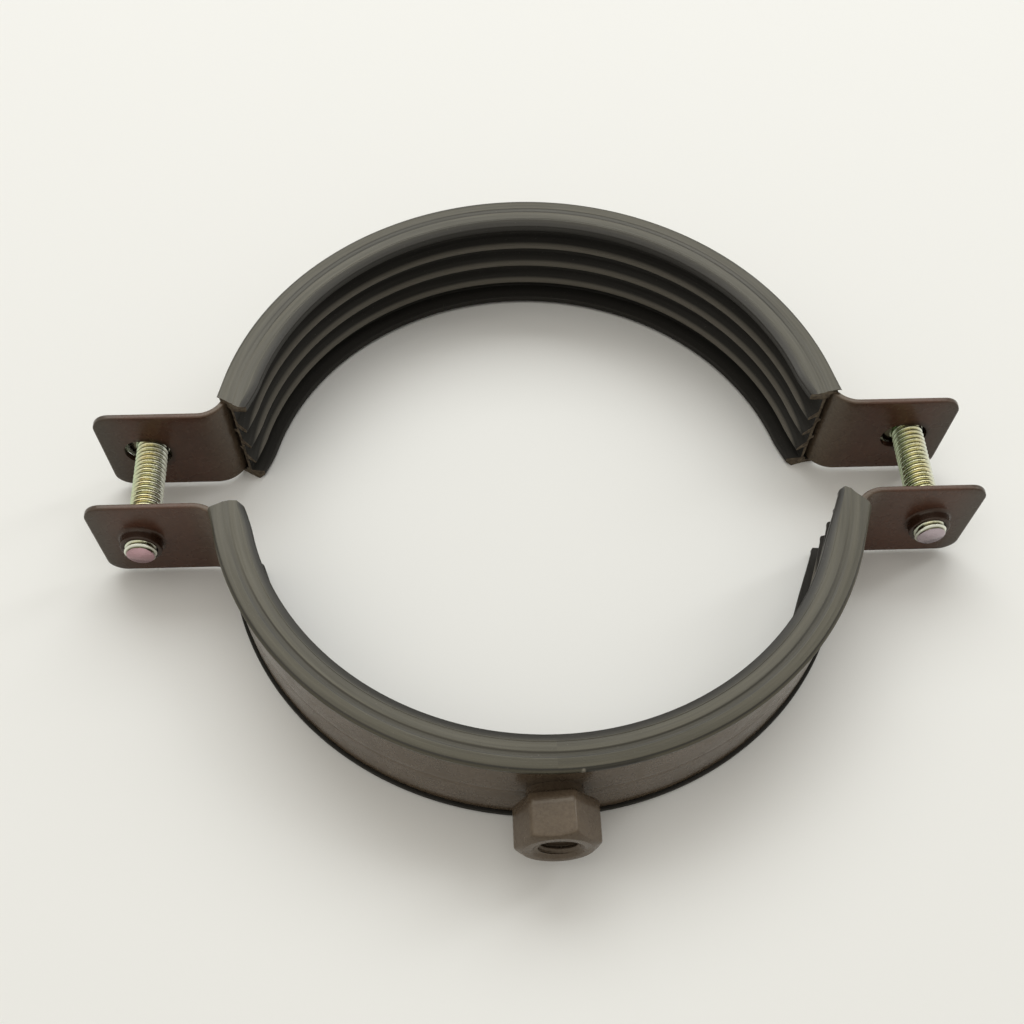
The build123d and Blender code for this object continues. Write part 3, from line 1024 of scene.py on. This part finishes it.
def plated_screw(name, centre_x, tip_y, tip_color):
    """Zinc plating with smears in its gloss, and a mauve tint on the flat tip."""
    material, shader, tree = new_material(name)
    shader.inputs["Metallic"].default_value = 1.0
    color = plating_color(tree, centre_x, tip_y, tip_color)
    tree.links.new(color, shader.inputs["Base Color"])
    rough = between(tree, add_noise(tree, 1500.0, 3.0), 0.3, 0.7, 0.14, 0.30)
    tree.links.new(rough, shader.inputs["Roughness"])
    add_bump(tree, shader, add_noise(tree, 6000.0, 2.0), 0.2, 0.02 * MM)
    return material


# ---- stage, light and camera ----

def make_floor():
    """Plain pale floor that keeps the object's shadow."""
    mesh = bpy.data.meshes.new("floor")
    corners = ((-1, -1), (1, -1), (1, 1), (-1, 1))
    points = [(x * FLOOR_REACH, y * FLOOR_REACH, FLOOR_Z) for x, y in corners]
    mesh.from_pydata(points, [], [(0, 1, 2, 3)])
    material, shader, _ = new_material("floor")
    shader.inputs["Base Color"].default_value = (0.835, 0.83, 0.80, 1.0)
    shader.inputs["Roughness"].default_value = 0.9
    mesh.materials.append(material)
    floor_piece = bpy.data.objects.new("floor", mesh)
    bpy.context.scene.collection.objects.link(floor_piece)


def make_lamp(name, place, size, power, color):
    """Soft rectangular lamp aimed at the clamp; places and sizes are in metres."""
    lamp = bpy.data.lights.new(name, "AREA")
    lamp.shape = "RECTANGLE"
    lamp.size, lamp.size_y = size
    lamp.energy = power
    lamp.color = color
    holder = bpy.data.objects.new(name, lamp)
    holder.location = place
    holder.rotation_euler = (-Vector(place)).to_track_quat("-Z", "Y").to_euler()
    bpy.context.scene.collection.objects.link(holder)


def make_world():
    """Even pale surroundings, and a near-white backdrop seen past the floor and in gloss."""
    world = bpy.data.worlds.new("studio")
    world.use_nodes = True
    tree = world.node_tree
    surroundings = tree.nodes["Background"]
    surroundings.inputs["Color"].default_value = (1.0, 0.965, 0.90, 1.0)
    surroundings.inputs["Strength"].default_value = 0.42
    backdrop = tree.nodes.new("ShaderNodeBackground")
    backdrop.inputs["Color"].default_value = (0.76, 0.755, 0.72, 1.0)
    mix = tree.nodes.new("ShaderNodeMixShader")
    ray = tree.nodes.new("ShaderNodeLightPath").outputs
    seen = largest(tree, ray["Is Camera Ray"], ray["Is Glossy Ray"], ray["Is Transmission Ray"])
    tree.links.new(seen, mix.inputs["Fac"])
    tree.links.new(surroundings.outputs["Background"], mix.inputs[1])
    tree.links.new(backdrop.outputs["Background"], mix.inputs[2])
    tree.links.new(mix.outputs["Shader"], tree.nodes["World Output"].inputs["Surface"])
    bpy.context.scene.world = world


def make_light():
    """Windows behind and to the right, and a wide soft panel above, with even surroundings."""
    make_world()
    make_lamp("window", (0.0, 0.80, 0.95), (1.3, 0.75), 7.6, (0.95, 0.985, 1.0))
    make_lamp("panel", (-0.55, 0.15, 1.6), (2.6, 2.4), 12.3, (1.0, 0.975, 0.92))
    make_lamp("side_window", (0.95, 0.42, 0.85), (0.2, 0.8), 2.2, (0.97, 0.99, 1.0))


def make_camera():
    """Camera at the photographer's place; the shift keeps the photograph's crop."""
    lens = bpy.data.cameras.new("camera")
    lens.sensor_width = SENSOR_WIDTH
    lens.lens = FOCAL_PIXELS / PICTURE_SIZE * SENSOR_WIDTH
    lens.shift_y = (AXIS_ROW - PICTURE_SIZE / 2) / PICTURE_SIZE
    lens.clip_start = 0.01
    lens.clip_end = 10.0
    camera = bpy.data.objects.new("camera", lens)
    camera.matrix_world = (
        Matrix.Translation([value * MM for value in CAMERA_PLACE])
        @ Matrix.Rotation(-radians(CAMERA_YAW), 4, "Z")
        @ Matrix.Rotation(pi / 2 - radians(CAMERA_PITCH), 4, "X")
        @ Matrix.Rotation(radians(CAMERA_ROLL), 4, "Z")
    )
    bpy.context.scene.collection.objects.link(camera)
    bpy.context.scene.camera = camera


def make_object():
    """Every visible piece of the clamp."""
    paint = painted_steel()
    make_front_band(paint)
    make_rear_band(paint)
    make_boss_nut(paint)
    make_linings()
    for side, node, tip_color in (
        (-1, "left_screw", (0.50, 0.32, 0.35)),
        (1, "right_screw", (0.44, 0.37, 0.40)),
    ):
        tip_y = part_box(node)[0].y
        plating = plated_screw(node + "_plating", side * SCREW_X * MM, tip_y, tip_color)
        make_screw(side, node, plating)


make_object()
make_floor()
make_light()
make_camera()
bpy.context.scene.view_settings.view_transform = "Standard"
